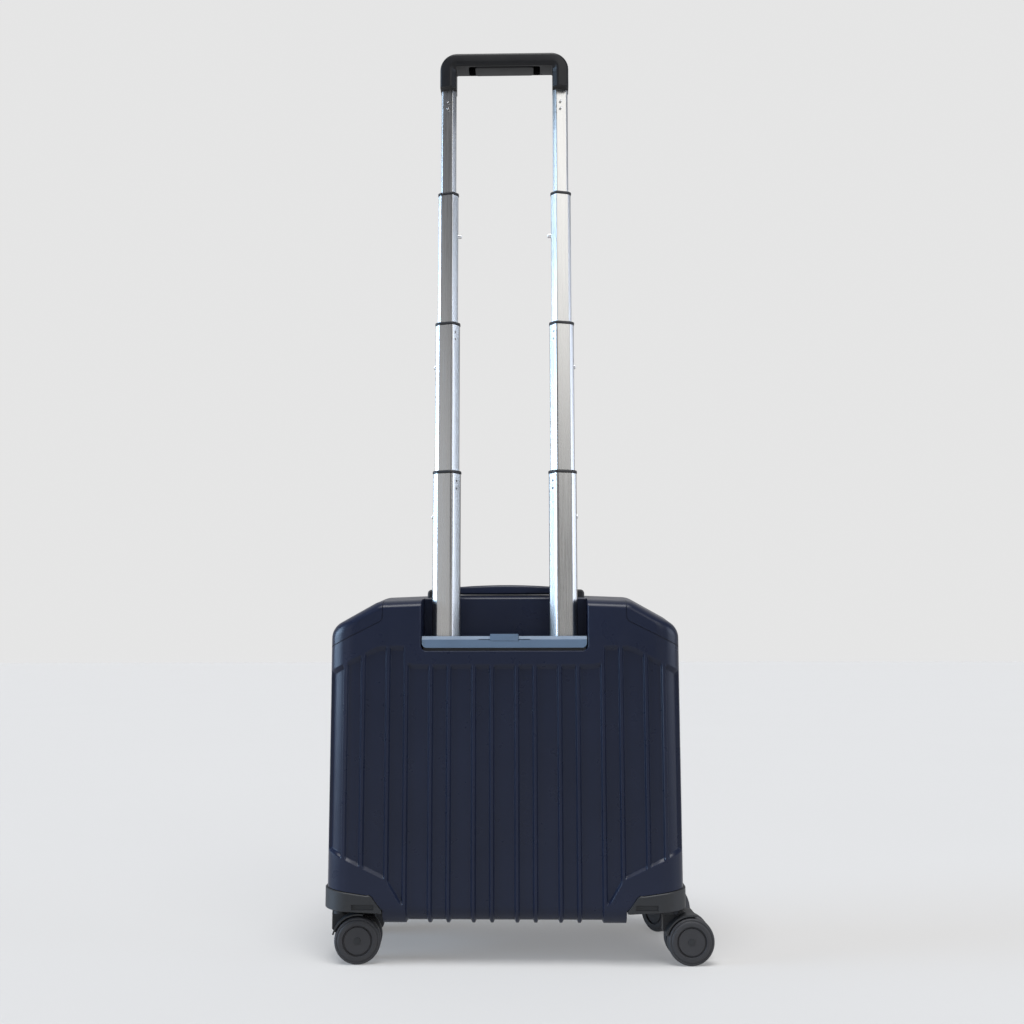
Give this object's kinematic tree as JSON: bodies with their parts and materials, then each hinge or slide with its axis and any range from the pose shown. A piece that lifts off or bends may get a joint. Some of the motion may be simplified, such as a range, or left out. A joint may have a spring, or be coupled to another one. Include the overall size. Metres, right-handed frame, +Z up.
{
  "type": "rolling laptop case",
  "caption": "Small ribbed hard-shell rolling laptop case with a telescopic trolley handle, top carry handle and twin-wheel swivel casters.",
  "frame": {"origin": "middle of the whole object's footprint box at floor height, with the trolley handle extended and the casters as they stand at rest", "axes": "+Z up, +Y from the handle side (rear) towards the front shell, +X to the right seen from the rear"},
  "size_m": [0.4061, 0.21, 0.99],
  "materials": {
    "shell": "satin moulded navy polycarbonate with a fine grain",
    "housing": "satin steel-blue plastic",
    "charcoal": "moulded charcoal nylon, fine texture",
    "grip": "soft-touch black plastic",
    "trim_black": "black plastic",
    "tube": "brushed titanium-grey anodised aluminium",
    "bright_steel": "polished steel",
    "zip_cloth": "woven dark nylon tape",
    "lining": "plain woven polyester lining",
    "padding": "padded brushed polyester",
    "tyre": "matt charcoal polyurethane"
  },
  "bodies": {
    "rear_case": {"rear_shell": "shell", "rear_zip_tape": "zip_cloth", "hinge_tape": "zip_cloth", "rear_lining": "lining", "laptop_sleeve": "padding", "zip_lock": "trim_black", "handle_housing": "housing", "outer_tube_left": "tube", "outer_tube_right": "tube", "carry_mount_left": "trim_black", "carry_mount_right": "trim_black", "rear_left_caster_bracket": "charcoal", "rear_right_caster_bracket": "charcoal"},
    "front_case": {"front_shell": "shell", "front_zip_tape": "zip_cloth", "front_lining": "lining", "front_left_caster_bracket": "charcoal", "front_right_caster_bracket": "charcoal"},
    "stage_4": {"stage_4_tube_left": "tube", "stage_4_tube_right": "tube", "stage_4_collar_left": "trim_black", "stage_4_collar_right": "trim_black", "stage_4_lock_pin_left": "bright_steel", "stage_4_lock_pin_right": "bright_steel"},
    "stage_3": {"stage_3_tube_left": "tube", "stage_3_tube_right": "tube", "stage_3_collar_left": "trim_black", "stage_3_collar_right": "trim_black", "stage_3_lock_pin_left": "bright_steel", "stage_3_lock_pin_right": "bright_steel"},
    "stage_2": {"stage_2_tube_left": "tube", "stage_2_tube_right": "tube", "stage_2_collar_left": "trim_black", "stage_2_collar_right": "trim_black", "stage_2_lock_pin_left": "bright_steel", "stage_2_lock_pin_right": "bright_steel"},
    "stage_1": {"stage_1_tube_left": "tube", "stage_1_tube_right": "tube", "grip": "grip"},
    "release_trigger": {"release_trigger": "grip"},
    "id_tag": {"id_tag": "housing"},
    "carry_handle": {"carry_handle": "shell"},
    "zip_slider_upper": {"zip_slider_upper": "bright_steel"},
    "zip_slider_lower": {"zip_slider_lower": "bright_steel"},
    "rear_left_swivel": {"rear_left_caster_fork": "charcoal", "rear_left_axle": "bright_steel"},
    "rear_left_wheel_inner": {"rear_left_wheel_inner": "tyre"},
    "rear_left_wheel_outer": {"rear_left_wheel_outer": "tyre"},
    "rear_right_swivel": {"rear_right_caster_fork": "charcoal", "rear_right_axle": "bright_steel"},
    "rear_right_wheel_inner": {"rear_right_wheel_inner": "tyre"},
    "rear_right_wheel_outer": {"rear_right_wheel_outer": "tyre"},
    "front_left_swivel": {"front_left_caster_fork": "charcoal", "front_left_axle": "bright_steel"},
    "front_left_wheel_inner": {"front_left_wheel_inner": "tyre"},
    "front_left_wheel_outer": {"front_left_wheel_outer": "tyre"},
    "front_right_swivel": {"front_right_caster_fork": "charcoal", "front_right_axle": "bright_steel"},
    "front_right_wheel_inner": {"front_right_wheel_inner": "tyre"},
    "front_right_wheel_outer": {"front_right_wheel_outer": "tyre"}
  },
  "joints": [
    {"name": "front_shell_hinge", "type": "hinge", "parent": "rear_case", "child": "front_case", "pos_m": [-0.20154, 0, 0.21], "axis": [0, 0, 1], "range_deg": [0, 150], "deforming": ["hinge_tape"]},
    {"name": "stage_4_slide", "type": "slide", "parent": "rear_case", "child": "stage_4", "axis": [0, 0, 1], "range_m": [-0.176, 0], "deforming": ["stage_4_lock_pin_left", "stage_4_lock_pin_right"]},
    {"name": "stage_3_slide", "type": "slide", "parent": "stage_4", "child": "stage_3", "axis": [0, 0, 1], "range_m": [-0.1625, 0], "deforming": ["stage_3_lock_pin_left", "stage_3_lock_pin_right"]},
    {"name": "stage_2_slide", "type": "slide", "parent": "stage_3", "child": "stage_2", "axis": [0, 0, 1], "range_m": [-0.1465, 0], "deforming": ["stage_2_lock_pin_left", "stage_2_lock_pin_right"]},
    {"name": "grip_slide", "type": "slide", "parent": "stage_2", "child": "stage_1", "axis": [0, 0, 1], "range_m": [-0.1205, 0]},
    {"name": "release_press", "type": "slide", "parent": "stage_1", "child": "release_trigger", "axis": [0, 0, 1], "range_m": [0, 0.004], "stiffness_N_per_m": 350, "springref_m": -0.001},
    {"name": "id_tag_slide", "type": "slide", "parent": "rear_case", "child": "id_tag", "axis": [0, 0, 1], "range_m": [0, 0.05]},
    {"name": "carry_handle_lift", "type": "slide", "parent": "rear_case", "child": "carry_handle", "axis": [0, 0, 1], "range_m": [0, 0.018]},
    {"name": "zip_slider_upper_run", "type": "slide", "parent": "rear_case", "child": "zip_slider_upper", "axis": [0, 0, 1], "range_m": [0, 0.09]},
    {"name": "zip_slider_lower_run", "type": "slide", "parent": "rear_case", "child": "zip_slider_lower", "axis": [0, 0, 1], "range_m": [-0.09, 0]},
    {"name": "rear_left_caster_swivel", "type": "hinge", "parent": "rear_case", "child": "rear_left_swivel", "pos_m": [-0.18344, -0.08, 0.0535], "axis": [0, 0, 1], "continuous": true},
    {"name": "rear_left_wheel_inner_spin", "type": "hinge", "parent": "rear_left_swivel", "child": "rear_left_wheel_inner", "pos_m": [-0.16468, -0.07869, 0.02379], "axis": [-0.0698, 0.9976, 0], "continuous": true},
    {"name": "rear_left_wheel_outer_spin", "type": "hinge", "parent": "rear_left_swivel", "child": "rear_left_wheel_outer", "pos_m": [-0.16468, -0.07869, 0.02379], "axis": [-0.0698, 0.9976, 0], "continuous": true},
    {"name": "rear_right_caster_swivel", "type": "hinge", "parent": "rear_case", "child": "rear_right_swivel", "pos_m": [0.15936, -0.08, 0.0535], "axis": [0, 0, 1], "continuous": true},
    {"name": "rear_right_wheel_inner_spin", "type": "hinge", "parent": "rear_right_swivel", "child": "rear_right_wheel_inner", "pos_m": [0.17814, -0.07902, 0.02379], "axis": [-0.0523, 0.9986, 0], "continuous": true},
    {"name": "rear_right_wheel_outer_spin", "type": "hinge", "parent": "rear_right_swivel", "child": "rear_right_wheel_outer", "pos_m": [0.17814, -0.07902, 0.02379], "axis": [-0.0523, 0.9986, 0], "continuous": true},
    {"name": "front_left_caster_swivel", "type": "hinge", "parent": "front_case", "child": "front_left_swivel", "pos_m": [-0.18344, 0.08, 0.0535], "axis": [0, 0, 1], "continuous": true},
    {"name": "front_left_wheel_inner_spin", "type": "hinge", "parent": "front_left_swivel", "child": "front_left_wheel_inner", "pos_m": [-0.17732, 0.06222, 0.02379], "axis": [0.9455, 0.3256, 0], "continuous": true},
    {"name": "front_left_wheel_outer_spin", "type": "hinge", "parent": "front_left_swivel", "child": "front_left_wheel_outer", "pos_m": [-0.17732, 0.06222, 0.02379], "axis": [0.9455, 0.3256, 0], "continuous": true},
    {"name": "front_right_caster_swivel", "type": "hinge", "parent": "front_case", "child": "front_right_swivel", "pos_m": [0.15936, 0.08, 0.0535], "axis": [0, 0, 1], "continuous": true},
    {"name": "front_right_wheel_inner_spin", "type": "hinge", "parent": "front_right_swivel", "child": "front_right_wheel_inner", "pos_m": [0.1696, 0.06423, 0.02379], "axis": [0.8387, 0.5446, 0], "continuous": true},
    {"name": "front_right_wheel_outer_spin", "type": "hinge", "parent": "front_right_swivel", "child": "front_right_wheel_outer", "pos_m": [0.1696, 0.06423, 0.02379], "axis": [0.8387, 0.5446, 0], "continuous": true}
  ]
}
